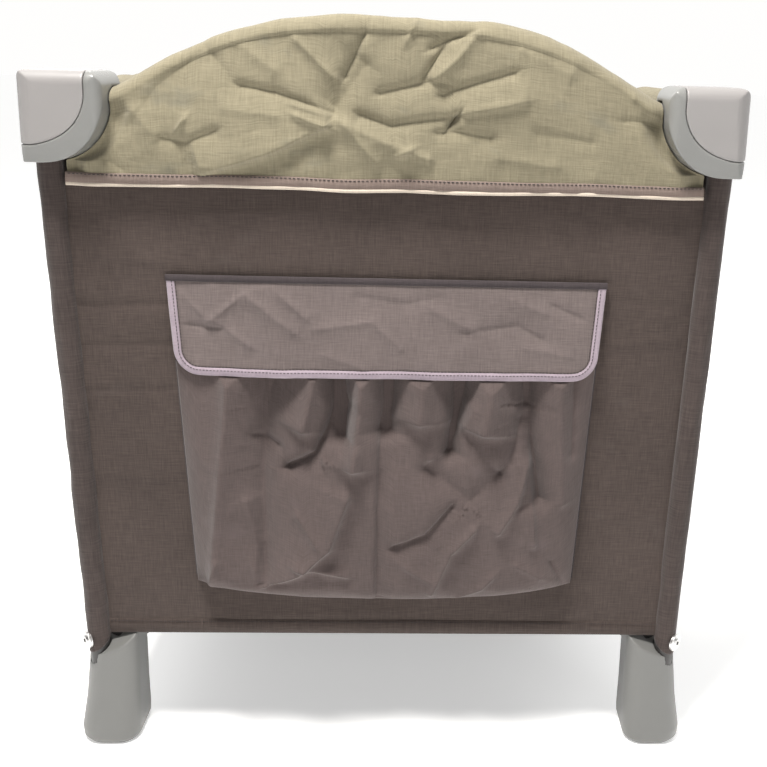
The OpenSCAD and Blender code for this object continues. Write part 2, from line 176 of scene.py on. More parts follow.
def make_studio():
    bpy.context.scene.view_settings.view_transform = "Standard"
    world = bpy.data.worlds.new("studio")
    world.use_nodes = True
    nodes, links = world.node_tree.nodes, world.node_tree.links
    split = nodes.new("ShaderNodeSeparateXYZ")
    links.new(nodes.new("ShaderNodeTexCoord").outputs["Generated"], split.inputs[0])
    ramp = nodes.new("ShaderNodeMapRange")
    ramp.interpolation_type = "SMOOTHSTEP"
    for key, number in (
        ("From Min", -0.5), ("From Max", 0.35),
        ("To Min", WORLD_FRONT), ("To Max", WORLD_BACK),
    ):
        ramp.inputs[key].default_value = number
    links.new(split.outputs["Y"], ramp.inputs["Value"])
    links.new(ramp.outputs["Result"], nodes["Background"].inputs["Strength"])
    nodes["Background"].inputs["Color"].default_value = (1, 0.995, 0.985, 1)
    bpy.context.scene.world = world
    make_light("key", (-0.3, -1.0, 2.3), (0, -0.5, 0.55), 0.45, 75, (1, 0.975, 0.94))
    make_light("fill", (1.5, -2.6, 1.3), (0, -0.4, 0.4), 1.6, 12)
    make_light("side", (2.2, 1.0, 2.2), (0, 0, 0.4), 1.6, 20)
    make_light("rim", (-1.6, 2.2, 2.2), (0, 0, 0.4), 1.6, 24)
    size = 30
    mesh = bpy.data.meshes.new("floor")
    corners = [(-size, -size, 0), (size, -size, 0), (size, size, 0), (-size, size, 0)]
    mesh.from_pydata(corners, [], [(0, 1, 2, 3)])
    floor = bpy.data.objects.new("studio_floor", mesh)
    bpy.context.scene.collection.objects.link(floor)
    material = bpy.data.materials.new("studio_floor")
    material.use_nodes = True
    shader = material.node_tree.nodes["Principled BSDF"]
    shader.inputs["Base Color"].default_value = (0.93, 0.93, 0.925, 1)
    shader.inputs["Roughness"].default_value = 0.9
    shader.inputs["Emission Color"].default_value = (1, 1, 1, 1)
    shader.inputs["Emission Strength"].default_value = FLOOR_GLOW
    mesh.materials.append(material)


# ---- materials ----


class Graph:
    """A material's nodes, with short calls for the kinds used here."""

    def __init__(self, name):
        self.material = bpy.data.materials.new(name)
        self.material.use_nodes = True
        self.nodes = self.material.node_tree.nodes
        self.links = self.material.node_tree.links
        self.shader = self.nodes["Principled BSDF"]

    def new(self, kind, **settings):
        node = self.nodes.new(kind)
        for key, value in settings.items():
            setattr(node, key, value)
        return node

    def feed(self, socket, value):
        if isinstance(value, bpy.types.NodeSocket):
            self.links.new(value, socket)
        else:
            socket.default_value = value

    def coordinates(self, kind):
        return self.new("ShaderNodeTexCoord").outputs[kind]

    def scaled(self, vector, scale, turn=0.0):
        node = self.new("ShaderNodeMapping")
        self.feed(node.inputs["Vector"], vector)
        node.inputs["Rotation"].default_value = (0, 0, turn)
        node.inputs["Scale"].default_value = scale
        return node.outputs["Vector"]

    def noise(self, vector, scale, detail=2.0, roughness=0.5):
        node = self.new("ShaderNodeTexNoise")
        self.feed(node.inputs["Vector"], vector)
        node.inputs["Scale"].default_value = scale
        node.inputs["Detail"].default_value = detail
        node.inputs["Roughness"].default_value = roughness
        return node.outputs["Fac"]

    def math(self, operation, a, b=0.0, c=0.0):
        node = self.new("ShaderNodeMath", operation=operation)
        for socket, value in zip(node.inputs, (a, b, c)):
            self.feed(socket, value)
        return node.outputs[0]

    def spread(self, value, low, high, to_low=0.0, to_high=1.0):
        node = self.new("ShaderNodeMapRange")
        self.feed(node.inputs["Value"], value)
        for key, number in (("From Min", low), ("From Max", high), ("To Min", to_low), ("To Max", to_high)):
            node.inputs[key].default_value = number
        return node.outputs["Result"]

    def mix(self, share, a, b):
        node = self.new("ShaderNodeMix", data_type="RGBA")
        self.feed(node.inputs[0], share)
        for socket, value in ((node.inputs[6], a), (node.inputs[7], b)):
            self.feed(socket, (*value, 1) if isinstance(value, tuple) else value)
        return node.outputs[2]

    def bump(self, height, distance, strength=1.0, normal=None):
        node = self.new("ShaderNodeBump")
        self.feed(node.inputs["Height"], height)
        node.inputs["Distance"].default_value = distance
        node.inputs["Strength"].default_value = strength
        if normal is not None:
            self.feed(node.inputs["Normal"], normal)
        return node.outputs["Normal"]

    def set(self, **values):
        for key, value in values.items():
            self.feed(self.shader.inputs[key.replace("_", " ")], value)


def shade(colour, factor):
    return tuple(min(1.0, c * factor) for c in colour)


def cloth_material(name, colour, contrast=0.25, stain=None, pitch=1.0, bump=0.3, blotch=0.12, sheen=0.15):
    """Woven cloth: warp and weft threads with slubs, a broad unevenness, and stains of one colour."""
    graph = Graph(name)
    uv = graph.coordinates("UV")
    thread = 900 / pitch
    warp = graph.noise(graph.scaled(uv, (thread, thread / 16, 1)), 1.0, 1.5)
    weft = graph.noise(graph.scaled(uv, (thread / 16, thread, 1)), 1.0, 1.5)
    slub_up = graph.noise(graph.scaled(uv, (thread / 1.6, thread / 30, 1)), 1.0, 1.0)
    slub_over = graph.noise(graph.scaled(uv, (thread / 30, thread / 1.6, 1)), 1.0, 1.0)
    fine = graph.math("ADD", warp, weft)
    slubs = graph.math("ADD", slub_up, slub_over)
    weave = graph.math("MULTIPLY_ADD", slubs, 0.35, graph.math("MULTIPLY", fine, 0.65))
    tone = graph.spread(weave, 0.72, 1.28)
    woven = graph.mix(tone, shade(colour, 1 - contrast), shade(colour, 1 + contrast))
    broad = graph.spread(graph.noise(uv, 7.0, 4.0, 0.6), 0.3, 0.7)
    worn = graph.mix(broad, shade(colour, 1 - 2.2 * blotch), shade(colour, 1 + 1.2 * blotch))
    final = graph.mix(0.5, woven, worn)
    if stain:
        spot = graph.spread(graph.noise(graph.scaled(uv, (1, 1.6, 1)), 11.0, 3.0, 0.6), 0.6, 0.78, 0, 0.5)
        final = graph.mix(spot, final, stain)
    threads = graph.math("ADD", fine, graph.math("MULTIPLY", slubs, 0.6))
    pucker = graph.bump(graph.noise(uv, 60.0, 3.0), 0.0016, 0.5)
    graph.set(
        Base_Color=final,
        Roughness=graph.spread(weave, 0.7, 1.3, 0.95, 0.8),
        Normal=graph.bump(threads, 0.0005, bump, pucker),
        Sheen_Weight=sheen,
        Sheen_Roughness=0.5,
    )
    graph.shader.inputs["Specular IOR Level"].default_value = 0.2
    return graph.material


def plastic_material(name, colour, roughness=0.36, wear=0.5):
    """Moulded plastic: a fine spark-eroded grain, uneven gloss, scuffs, and paler worn edges."""
    graph = Graph(name)
    place = graph.coordinates("Object")
    cloudy = graph.noise(place, 14.0, 3.0)
    scuffs = graph.spread(graph.noise(graph.scaled(place, (3, 3, 0.7)), 55.0, 5.0, 0.7), 0.6, 0.8)
    base = graph.mix(cloudy, shade(colour, 0.93), shade(colour, 1.06))
    edge = graph.spread(graph.new("ShaderNodeNewGeometry").outputs["Pointiness"], 0.52, 0.6, 0, wear)
    base = graph.mix(edge, base, shade(colour, 1.25))
    base = graph.mix(graph.math("MULTIPLY", scuffs, 0.25), base, shade(colour, 1.18))
    gloss = graph.math(
        "MULTIPLY_ADD", scuffs, 0.16, graph.spread(cloudy, 0.3, 0.7, roughness - 0.05, roughness + 0.06)
    )
    grain = graph.noise(place, 1500.0, 2.0)
    graph.set(Base_Color=base, Roughness=gloss, Normal=graph.bump(grain, 0.0002, 0.18))
    return graph.material


def metal_material(name, colour, metallic, roughness):
    """Painted or plated steel with handling marks."""
    graph = Graph(name)
    place = graph.coordinates("Object")
    marks = graph.spread(graph.noise(graph.scaled(place, (1, 1, 0.3)), 90.0, 5.0, 0.7), 0.45, 0.75)
    base = graph.mix(marks, colour, shade(colour, 1.35))
    graph.set(
        Base_Color=base,
        Metallic=metallic,
        Roughness=graph.spread(marks, 0, 1, roughness, roughness + 0.2),
        Normal=graph.bump(graph.noise(place, 700.0), 0.0002, 0.15),
    )
    return graph.material


def thread_material(name, colour):
    """Sewing thread with its twist."""
    graph = Graph(name)
    twist = graph.noise(graph.scaled(graph.coordinates("Object"), (1, 1, 3)), 1800.0, 1.0)
    graph.set(
        Base_Color=graph.mix(twist, shade(colour, 0.7), shade(colour, 1.3)),
        Roughness=0.75,
        Normal=graph.bump(twist, 0.0003, 0.6),
    )
    return graph.material


def mesh_material(name, colour, hole=0.0032):
    """Open mesh for the side windows: threads round rows of holes, see-through between them."""
    graph = Graph(name)
    uv = graph.coordinates("UV")
    cells = graph.new("ShaderNodeTexVoronoi", feature="DISTANCE_TO_EDGE")
    graph.feed(cells.inputs["Vector"], uv)
    cells.inputs["Scale"].default_value = 1 / hole
    cells.inputs["Randomness"].default_value = 0.12
    solid = graph.spread(cells.outputs["Distance"], 0.16, 0.24, 1, 0)
    tone = graph.noise(uv, 300.0)
    graph.set(
        Base_Color=graph.mix(tone, shade(colour, 0.7), shade(colour, 1.3)),
        Roughness=0.8,
        Alpha=solid,
        Normal=graph.bump(solid, 0.0004, 0.5),
    )
    return graph.material


def make_materials():
    return {
        "housing": plastic_material("housing_plastic", (0.20, 0.20, 0.192), 0.32),
        "cap": plastic_material("cap_plastic", (0.26, 0.247, 0.242), 0.42),
        "foot": plastic_material("foot_plastic", (0.165, 0.165, 0.158), 0.42),
        "red": plastic_material("red_plastic", (0.42, 0.03, 0.03), 0.35),
        "steel": metal_material("coated_steel", (0.035, 0.033, 0.032), 0.0, 0.35),
        "zinc": metal_material("zinc_steel", (0.68, 0.67, 0.66), 1.0, 0.3),
        "screw": metal_material("screw_socket", (0.02, 0.02, 0.02), 0.6, 0.5),
        "cover": cloth_material(
            "cover_cloth", (0.215, 0.19, 0.128), 0.34, (0.12, 0.125, 0.11), 1.15, 0.5, 0.1
        ),
        "wall": cloth_material(
            "wall_cloth", (0.062, 0.046, 0.040), 0.45, (0.085, 0.068, 0.062), 1.0, 0.5, 0.14
        ),
        "sleeve": cloth_material("sleeve_cloth", (0.058, 0.044, 0.04), 0.5, None, 1.2, 0.5, 0.15),
        "pocket": cloth_material(
            "pocket_cloth", (0.092, 0.070, 0.066), 0.35, (0.12, 0.095, 0.095), 0.9, 0.35, 0.1
        ),
        "flap": cloth_material(
            "flap_cloth", (0.132, 0.106, 0.101), 0.35, (0.11, 0.09, 0.09), 0.95, 0.4, 0.12
        ),
        "binding": cloth_material("lilac_binding", (0.33, 0.27, 0.31), 0.2, None, 0.8, 0.4, 0.15, 0.4),
        "dark_tape": cloth_material("dark_binding", (0.05, 0.04, 0.042), 0.3, None, 0.8, 0.4, 0.1),
        "hem": cloth_material("taupe_hem", (0.19, 0.145, 0.125), 0.3, None, 0.8, 0.4, 0.15),
        "ivory": cloth_material("ivory_edge", (0.56, 0.48, 0.40), 0.2, None, 0.8, 0.4, 0.15),
        "mat": cloth_material("mat_cloth", (0.17, 0.165, 0.155), 0.3, None, 1.0, 0.4, 0.1),
        "webbing": cloth_material("red_webbing", (0.40, 0.03, 0.03), 0.35, None, 2.0, 0.9, 0.08),
        "floor": cloth_material("floor_cloth", (0.045, 0.04, 0.038), 0.4, None, 1.4, 0.5, 0.1),
        "window": mesh_material("window_mesh", (0.075, 0.07, 0.068)),
        "dark_thread": thread_material("dark_thread", (0.03, 0.024, 0.024)),
        "pale_thread": thread_material("pale_thread", (0.30, 0.26, 0.25)),
    }


# ---- mesh building ----


def add_object(name, points, faces, material, uv=None):
    mesh = bpy.data.meshes.new(name)
    mesh.from_pydata(points.reshape(-1, 3).tolist(), [], faces)
    if uv is not None:
        mesh.uv_layers.new(name="cloth").data.foreach_set("uv", uv.ravel())
    mesh.shade_smooth()
    mesh.materials.append(material)
    piece = bpy.data.objects.new(name, mesh)
    bpy.context.scene.collection.objects.link(piece)
    return piece


def quads(index):
    return np.stack([index[:-1, :-1], index[:-1, 1:], index[1:, 1:], index[1:, :-1]], axis=-1).reshape(-1, 4)


def add_grid(name, points, u, v, material, keep=None):
    """A sheet from a grid of points, with u and v in metres. keep says which of its faces stay."""
    rows, cols = points.shape[:2]
    faces = quads(np.arange(rows * cols).reshape(rows, cols))
    if keep is not None:
        faces = faces[keep.ravel()]
    uv = np.stack([u + 0 * v, v + 0 * u], axis=-1).reshape(-1, 2)
    return add_object(name, points, faces.tolist(), material, uv[faces.ravel()])


def thicken(piece, thickness, offset=0.0):
    solid = piece.modifiers.new("thickness", "SOLIDIFY")
    solid.thickness = thickness
    solid.offset = offset
    return piece


def unit(vectors):
    return vectors / np.maximum(np.linalg.norm(vectors, axis=-1, keepdims=True), 1e-12)


def add_sweep(name, path, across, outward, profile, material):
    """A closed section carried along a path. profile is a list of (across, outward) distances."""
    profile = np.array(profile, float)
    count = len(profile)
    points = (
        path[:, None]
        + profile[None, :, :1] * across[:, None]
        + profile[None, :, 1:] * outward[:, None]
    )
    index = np.arange(len(path) * count).reshape(len(path), count)
    faces = quads(np.hstack([index, index[:, :1]])).tolist()
    steps = np.linalg.norm(np.diff(path, axis=0), axis=1)
    along = np.concatenate([[0], np.cumsum(steps)])
    around = np.concatenate(
        [[0], np.cumsum(np.linalg.norm(np.diff(profile, axis=0, append=profile[:1]), axis=1))]
    )
    grid_u, grid_v = np.meshgrid(around, along)
    uv = np.stack([grid_v, grid_u], axis=-1).reshape(-1, 2)
    corners = quads(np.arange(len(path) * (count + 1)).reshape(len(path), count + 1))
    loops = uv[corners.ravel()]
    ends = [index[0].tolist(), index[-1][::-1].tolist()]
    loops = np.vstack([loops, np.zeros((2 * count, 2))])
    return add_object(name, points, faces + ends, material, loops)


def tape_profile(width, thickness):
    """A flat tape's section with rounded edges."""
    half, deep = width / 2, thickness / 2
    edge = min(deep, half)
    angles = np.radians([-60, -20, 20, 60])
    right = [(half - edge + edge * math.cos(a), deep * math.sin(a) * 1.15) for a in angles]
    left = [(-x, -y) for x, y in right]
    return right + left


def add_stitches(name, path, across, outward, pitch, length, radius, material):
    """A row of short threads lying along a path."""
    steps = np.linalg.norm(np.diff(path, axis=0), axis=1)
    along = np.concatenate([[0], np.cumsum(steps)])
    starts = np.arange(pitch / 2, along[-1] - length, pitch)

    def at(values, distance):
        return np.stack([np.interp(distance, along, values[:, k]) for k in range(3)], axis=-1)

    rings = ((0.0, 0.25, -0.6), (0.2, 0.9, 0.5), (0.5, 1.0, 0.8), (0.8, 0.9, 0.5), (1.0, 0.25, -0.6))
    sides = 6
    points, faces = [], []
    for start in starts:
        base = len(points)
        for share, size, lift in rings:
            centre = at(path, start + share * length)
            aside, away = at(across, start), at(outward, start)
            for k in range(sides):
                turn = 2 * math.pi * k / sides
                reach = (
                    radius * size * math.cos(turn) * aside
                    + radius * (size * math.sin(turn) + lift) * away
                )
                points.append(centre + reach)
        for ring in range(len(rings) - 1):
            for k in range(sides):
                a, b = base + ring * sides + k, base + ring * sides + (k + 1) % sides
                faces.append((a, b, b + sides, a + sides))
        faces.append(tuple(base + k for k in range(sides)))
        faces.append(tuple(base + (len(rings) - 1) * sides + k for k in reversed(range(sides))))
    return add_object(name, np.array(points), faces, material)


# ---- relief: folds and crumples ----


def smooth(value, low, high):
    share = np.clip((value - low) / (high - low), 0, 1)
    return share * share * (3 - 2 * share)


def bumps(u, v, cell, seed):
    """Smooth noise from -1 to 1 with features of the size of cell."""
    table = np.random.default_rng(seed).uniform(-1, 1, (64, 64))
    a, b = u / cell + 31.7, v / cell + 17.3
    ia, ib = np.floor(a).astype(int), np.floor(b).astype(int)
    fa, fb = a - ia, b - ib
    fa, fb = fa * fa * (3 - 2 * fa), fb * fb * (3 - 2 * fb)
    low = table[ia % 64, ib % 64] * (1 - fa) + table[(ia + 1) % 64, ib % 64] * fa
    high = table[ia % 64, (ib + 1) % 64] * (1 - fa) + table[(ia + 1) % 64, (ib + 1) % 64] * fa
    return low * (1 - fb) + high * fb


def crumple(u, v, cell, seed, directions=6):
    """Straight sharp creases in several directions, each fading in and out, from about -1 to 1."""
    rng = np.random.default_rng(seed)
    total = 0 * u
    for k in range(directions):
        turn = rng.uniform(0, math.pi)
        wave = (u * math.cos(turn) + v * math.sin(turn)) / (cell * rng.uniform(0.8, 2.2)) + rng.uniform(0, 2)
        wave = wave + 0.35 * bumps(u, v, cell * 2.5, seed * 13 + k)
        ridge = 1 - 2 * np.abs(wave % 2 - 1)
        total = total + ridge * smooth(bumps(u, v, cell * 3, seed * 29 + k), 0.05, 0.6)
    return total / 2


def fold_relief(u, v, folds):
    """Folds as (points, height, width above, width below), all in millimetres, points as (u, z) pairs."""
    total = 0 * u
    for points, height, above, below in folds:
        line = np.array(points, float) * MM
        best = np.full(u.shape, 1e9)
        level = 0 * u
        for start, end in zip(line[:-1], line[1:]):
            step = end - start
            length = np.linalg.norm(step)
            du, dv = step / length
            nu, nv = (-dv, du) if du > 0 else (dv, -du)
            along = (u - start[0]) * du + (v - start[1]) * dv
            across = (u - start[0]) * nu + (v - start[1]) * nv
            over = np.maximum(0, np.maximum(-along, along - length))
            away = np.hypot(over, across)
            width = np.where(across > 0, above, below) * MM
            shape = np.exp(-np.hypot(np.abs(across) / width, 0.25) + 0.25 - (over / (6 * MM)) ** 1.3)
            level = np.where(away < best, shape, level)
            best = np.minimum(best, away)
        total = total + height * MM * level
    return total


# ---- corners, feet and other hard parts ----


def soften(name, node, voxel, rounds, material, body):
    """A CAD solid again with the soft edges of a moulding, in place of its node."""
    piece = bpy.data.objects.new(name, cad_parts[node].data.copy())
    bpy.context.scene.collection.objects.link(piece)
    remesh = piece.modifiers.new("remesh", "REMESH")
    remesh.mode = "VOXEL"
    remesh.voxel_size = voxel
    blur = piece.modifiers.new("blur", "SMOOTH")
    blur.factor = 0.5
    blur.iterations = rounds
    bpy.context.view_layer.update()
    done = bpy.data.meshes.new_from_object(piece.evaluated_get(bpy.context.evaluated_depsgraph_get()))
    piece.modifiers.clear()
    piece.data = done
    done.materials.clear()
    done.materials.append(material)
    done.shade_smooth()
    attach(piece, body)
    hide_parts(node)
    return piece


def make_hard_parts(look):
    for c in SIGNS:
        body = "leg_" + c
        soften(
            "housing_shell_" + c, "corner_housing_" + c, 1.1 * MM, 6, look["housing"], body
        )
        soften("cap_shell_" + c, "corner_cap_" + c, 0.9 * MM, 4, look["cap"], body)
        soften("foot_shell_" + c, "foot_" + c, 1.2 * MM, 6, look["foot"], body)
        add_screw(c, look)
    for p in ("front", "back", "left", "right"):
        body = "latch_" + p
        soften(
            "latch_shell_" + p, "latch_housing_" + p, 1.0 * MM, 5, look["housing"], body
        )
        soften("button_" + p, "latch_button_" + p, 0.8 * MM, 5, look["red"], "button_" + p)
    soften("hub_shell", "hub", 1.2 * MM, 5, look["housing"], "hub")
    for name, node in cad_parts.items():
        kept = {"leg_tube": "steel", "end_rail": "steel", "side_rail": "steel", "strut": "steel",
                "corner_fasteners": "zinc", "latch_pins": "zinc", "hub_pins": "zinc"}
        for start, key in kept.items():
            if name.startswith(start):
                for place in node.material_slots:
                    place.material = look[key]


def add_lathe(name, centre, axis, profile, material, segments=40):
    """A turned piece. profile is a list of (radius, height along the axis)."""
    axis = unit(np.array(axis, float))
    side = unit(np.cross(axis, [0, 0, 1.0]))
    other = np.cross(axis, side)
    points, faces = [], []
    for radius, rise in profile:
        for k in range(segments):
            turn = 2 * math.pi * k / segments
            points.append(centre + axis * rise + radius * (math.cos(turn) * side + math.sin(turn) * other))
    for ring in range(len(profile) - 1):
        for k in range(segments):
            a, b = ring * segments + k, ring * segments + (k + 1) % segments
            faces.append((a, b, b + segments, a + segments))
    faces.append(tuple(reversed(range(segments))))
    faces.append(tuple((len(profile) - 1) * segments + k for k in range(segments)))
    return add_object(name, np.array(points), faces, material)


FIX_Z = 124 * MM
WASHER_FACE = LEG_R + 1.5 * MM + 2.5 * MM


def add_screw(corner, look):
    """The dished washer and the socket-headed screw that hold the sleeve at the foot."""
    sx, sy = SIGNS[corner]
    axis = (sx, sy, 0)
    centre = leg_point(corner, FIX_Z) + unit(np.array(axis, float)) * WASHER_FACE
    rings = [
        (9.4, -1.0), (9.6, 0.0), (9.2, 0.7), (8.2, 0.9),
        (7.2, 0.5), (6.2, 0.3), (5.6, 0.9), (5.2, 2.2), (3.4, 2.4),
    ]
    dish = add_lathe(
        "washer_dish_" + corner, centre, axis, [(r * MM, h * MM) for r, h in rings], look["zinc"]
    )
    hole = [(2.6, 2.2), (2.5, 2.55), (1.6, 2.6)]
    socket = add_lathe(
        "screw_socket_" + corner, centre, axis, [(r * MM, h * MM) for r, h in hole], look["screw"], 6
    )
    for piece in (dish, socket):
        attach(piece, "leg_" + corner)


# ---- leg sleeves ----

SLEEVE_R = LEG_R + 1.3 * MM
SLEEVE_TOP = HOUSING_Z + 6 * MM


def make_sleeve(corner, look):
    """The wall cloth's tube round a leg, cut slanting above the foot."""
    sx, sy = SIGNS[corner]
    seed = 40 + list(SIGNS).index(corner)
    around = np.linspace(0, 2 * math.pi, 73)
    share = np.linspace(0, 1, 260)[:, None]
    dx, dy = np.cos(around)[None], np.sin(around)[None]
    inward = 1 - (sx * dx + sy * dy) * 0.5
    low = (104.5 + 12.5 * inward) * MM
    z = low + (SLEEVE_TOP - low) * share
    arc = around[None] * SLEEVE_R + 0 * z
    puckers = 0.5 * bumps(arc, z * 0.25, 7 * MM, seed) + 0.6 * crumple(arc * 2, z, 30 * MM, seed + 5)
    turned = np.minimum(1, (z - low) / (10 * MM))
    radius = SLEEVE_R + puckers * MM * (0.4 + 0.6 * turned) + 0.5 * MM * np.sin(turned * math.pi)
    points = np.stack(
        [
            sx * leaning(LEG_X, z) + radius * dx,
            sy * leaning(LEG_Y, z) + radius * dy,
            z + 0 * dx,
        ],
        axis=-1,
    )
    points[:, -1] = points[:, 0]
    piece = add_grid("leg_sleeve_" + corner, points, arc, z, look["sleeve"])
    thicken(piece, 0.8 * MM, -1)
    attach(piece, "leg_" + corner)


# ---- walls ----


def wall_out(side, u, z):
    """How far a wall's cloth stands out from the legs' plane: taut, with soft level creases."""
    seed = {"front": 3, "back": 4, "left": 5, "right": 6}[side]
    half = leaning(wall_reach(side)[1], z)
    near_leg = smooth(np.abs(u), half - 60 * MM, half - 12 * MM)
    level = 1.6 * bumps(u * 0.35, z, 28 * MM, seed) + 1.0 * bumps(u, z * 0.4, 70 * MM, seed + 9)
    wrinkles = 0.9 * crumple(u, z, 34 * MM, seed + 20)
    creases = fold_relief(u, z, WALL_CREASES) if side == "front" else 0
    pull = smooth(z, WALL_LOW, WALL_LOW + 12 * MM)
    return (level * (0.35 + 0.65 * near_leg) + wrinkles * (0.25 + 0.5 * near_leg)) * MM * pull + creases


WALL_CREASES = [
    (((-309, 503), (-216, 506)), -1.6, 3, 5),
    (((-309, 460), (-219, 463)), -1.3, 3, 5),
    (((-312, 411), (-220, 414)), -1.3, 3, 5),
    (((-301, 557), (-223, 550)), 1.2, 6, 6),
    (((-299, 317), (-237, 313)), 0.9, 4, 5),
    (((223, 520), (290, 512)), -1.0, 4, 5),
    (((226, 470), (295, 476)), 1.0, 5, 5),
    (((228, 299), (287, 289)), -0.8, 4, 5),
    (((-179, 598), (-62, 605)), 0.9, 8, 5),
    (((26, 597), (192, 590)), -0.8, 6, 8),
    (((-165, 147), (31, 155)), 0.8, 8, 5),
]
WALL_EDGE = 8 * MM


def make_end_wall(side, look):
    rows, cols = 200, 240
    z = np.linspace(WALL_LOW, WALL_TOP - 8 * MM, rows)[:, None]
    s = np.linspace(-1, 1, cols)[None]
    half = leaning(LEG_X, z) - WALL_EDGE
    narrow = cover_reach(side) - 6 * MM
    half = np.where(z > HEM_Z, half + (narrow - half) * smooth(z, HEM_Z, HEM_Z + 40 * MM), half)
    u = s * half
    points = on_wall(side, u, wall_out(side, u, z), z + 0 * u)
    piece = add_grid("wall_" + side, points, u, z, look["wall"])
    thicken(piece, 1.0 * MM)
    hem = add_wall_hem(side, look, LEG_X)
    finish_wall_piece(piece, side, "end_panel_" + side)


def finish_wall_piece(piece, side, node=None):
    """Rides a wall's piece on its leg, gives it a mesh of its own, and hides the CAD node it replaces."""
    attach(piece, WALL_BODY[side])
    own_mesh(piece)
    if node:
        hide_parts(node)


def wall_line(side, u, out, z, upright=False):
    """A path on a wall with its across and outward directions for tapes and stitches."""
    path = on_wall(side, u, out, z, upright)
    outward = unit(on_wall(side, u, out + 0.01, z, upright) - path)
    along = unit(np.gradient(path, axis=0))
    across = unit(np.cross(outward, along))
    return path, across, outward


def add_wall_hem(side, look, leg_at):
    """The wall's turned lower hem and its stitching."""
    half = leaning(leg_at, WALL_LOW) - 11 * MM
    u = np.linspace(-half, half, 200)
    low = np.full(200, WALL_LOW + 9 * MM)
    path, across, outward = wall_line(side, u, wall_out(side, u, low), low)
    band = add_sweep("wall_hem_" + side, path, across, outward, tape_profile(17 * MM, 3 * MM), look["wall"])
    high = np.full(200, WALL_LOW + 15 * MM)
    path, across, outward = wall_line(side, u, wall_out(side, u, high) + 1.7 * MM, high)
    row = add_stitches(
        "wall_hem_stitches_" + side, path, across, outward, 4.2 * MM, 3 * MM, 0.35 * MM, look["dark_thread"]
    )
    for piece in (band, row):
        finish_wall_piece(piece, side)
    return [band, row]


# ---- side walls with mesh windows ----

WINDOW_HALF = 352 * MM
WINDOW_LOW = 205 * MM
WINDOW_HIGH = 575 * MM
WINDOW_R = 60 * MM


def window_outline(grow, count=40):
    """The window's rounded outline as (u, z), grown by a distance."""
    half, low, high, r = WINDOW_HALF + grow, WINDOW_LOW - grow, WINDOW_HIGH + grow, WINDOW_R + grow
    points = []
    for cu, cz, start in (
        (half - r, high - r, 0),
        (-half + r, high - r, 90),
        (-half + r, low + r, 180),
        (half - r, low + r, 270),
    ):
        for k in range(count + 1):
            turn = math.radians(start + 90 * k / count)
            points.append((cu + r * math.cos(turn), cz + r * math.sin(turn)))
    points.append(points[0])
    return spaced(np.array(points), 5 * MM)


def spaced(line, step):
    """A polyline again with points about step apart."""
    along = np.concatenate([[0], np.cumsum(np.linalg.norm(np.diff(line, axis=0), axis=1))])
    at = np.linspace(0, along[-1], max(2, round(along[-1] / step) + 1))
    return np.stack([np.interp(at, along, line[:, k]) for k in range(line.shape[1])], axis=1)


def in_window(u, z, grow):
    middle = (WINDOW_LOW + WINDOW_HIGH) / 2
    du = np.abs(u) - (WINDOW_HALF - WINDOW_R)
    dz = np.abs(z - middle) - ((WINDOW_HIGH - WINDOW_LOW) / 2 - WINDOW_R)
    outside = np.hypot(np.maximum(du, 0), np.maximum(dz, 0)) + np.minimum(np.maximum(du, dz), 0)
    return outside < WINDOW_R + grow


def make_side_wall(side, look):
    """A side wall: cloth borders round a window of open mesh, bound with tape."""
    rows, cols = 120, 220
    z = np.linspace(WALL_LOW, WALL_TOP - 8 * MM, rows)[:, None]
    s = np.linspace(-1, 1, cols)[None]
    half = leaning(LEG_Y, z) - WALL_EDGE
    narrow = cover_reach(side) - 6 * MM
    half = np.where(z > HEM_Z, half + (narrow - half) * smooth(z, HEM_Z, HEM_Z + 40 * MM), half)
    u = s * half
    points = on_wall(side, u, wall_out(side, u, z), z + 0 * u)
    middle_u = (u[:-1, :-1] + u[1:, 1:]) / 2
    middle_z = (z[:-1] + z[1:]) / 2 + 0 * middle_u
    piece = add_grid("wall_" + side, points, u, z, look["wall"], keep=~in_window(middle_u, middle_z, -4 * MM))
    thicken(piece, 1.0 * MM)
    ring = window_outline(2 * MM)
    centre = np.array([0, (WINDOW_LOW + WINDOW_HIGH) / 2])
    share = np.linspace(0, 1, 40)[:, None, None]
    spots = centre + (ring[None] - centre) * share
    wu, wz = spots[..., 0], spots[..., 1]
    sag = wall_out(side, wu, wz) - 1.2 * MM + 2.5 * MM * bumps(wu, wz, 120 * MM, 77)
    net = add_grid("mesh_window_" + side, on_wall(side, wu, sag, wz), wu, wz, look["window"])
    edge_u, edge_z = ring[:, 0], ring[:, 1]
    path, across, outward = wall_line(side, edge_u, wall_out(side, edge_u, edge_z), edge_z)
    tape = add_sweep(
        "window_binding_" + side, path, across, outward, tape_profile(15 * MM, 3 * MM), look["hem"]
    )
    stitched = window_outline(7.5 * MM)
    su, sz = stitched[:, 0], stitched[:, 1]
    path, across, outward = wall_line(side, su, wall_out(side, su, sz) + 1.6 * MM, sz)
    row = add_stitches(
        "window_stitches_" + side, path, across, outward, 4.5 * MM, 3.2 * MM, 0.35 * MM, look["dark_thread"]
    )
    hem = add_wall_hem(side, look, LEG_Y)
    finish_wall_piece(piece, side, "side_panel_" + side)
    for part in (net, tape, row):
        finish_wall_piece(part, side)


# ---- top covers ----

